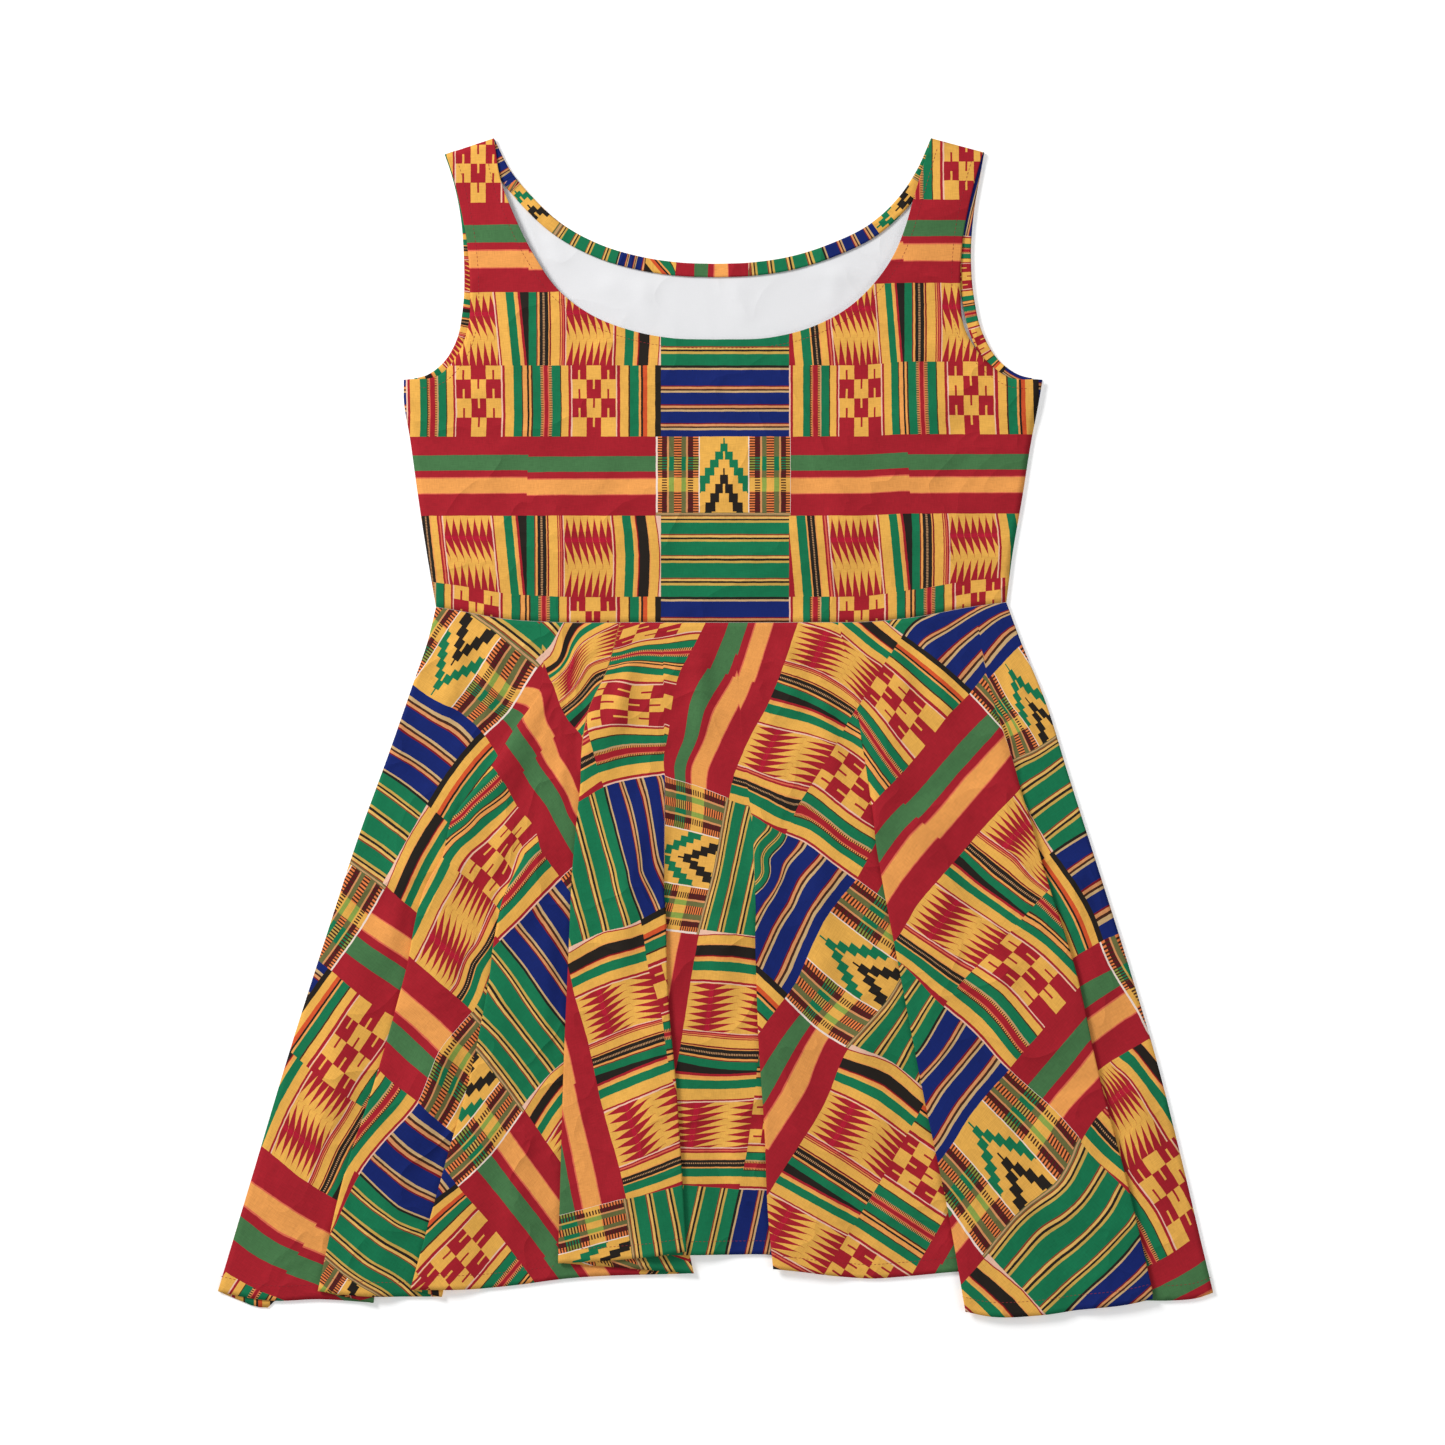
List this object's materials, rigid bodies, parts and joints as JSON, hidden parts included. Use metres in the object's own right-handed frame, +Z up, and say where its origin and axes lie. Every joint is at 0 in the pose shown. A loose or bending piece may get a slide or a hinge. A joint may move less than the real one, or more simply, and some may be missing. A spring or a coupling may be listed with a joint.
{
  "type": "skater dress",
  "caption": "Sleeveless skater dress laid flat on its back, with a deep scoop neck, wide straps, a waist seam and a flared skirt in soft uneven folds, in a traditional strip-woven print.",
  "frame": {"origin": "middle of the dress's outline, on the floor that it lies on", "axes": "+Y up the dress from hem to straps, +X to the right as seen from above with the straps away from the viewer, +Z up from the floor out of the front of the dress"},
  "size_m": [0.746, 0.8827, 0.0103],
  "materials": {
    "print_front": "printed knit with a faint sheen, strip-woven pattern in red, green, orange, yellow, blue and black",
    "print_skirt": "the same printed knit",
    "plain_inside": "the white unprinted inside of the knit",
    "binding": "narrow strips of the printed knit"
  },
  "bodies": {
    "root": {"bodice_front": "print_front", "bodice_back": "plain_inside", "skirt_front": "print_skirt", "skirt_back": "print_skirt", "neck_band_back": "binding", "armhole_band_left": "binding", "armhole_band_right": "binding"}
  },
  "joints": []
}
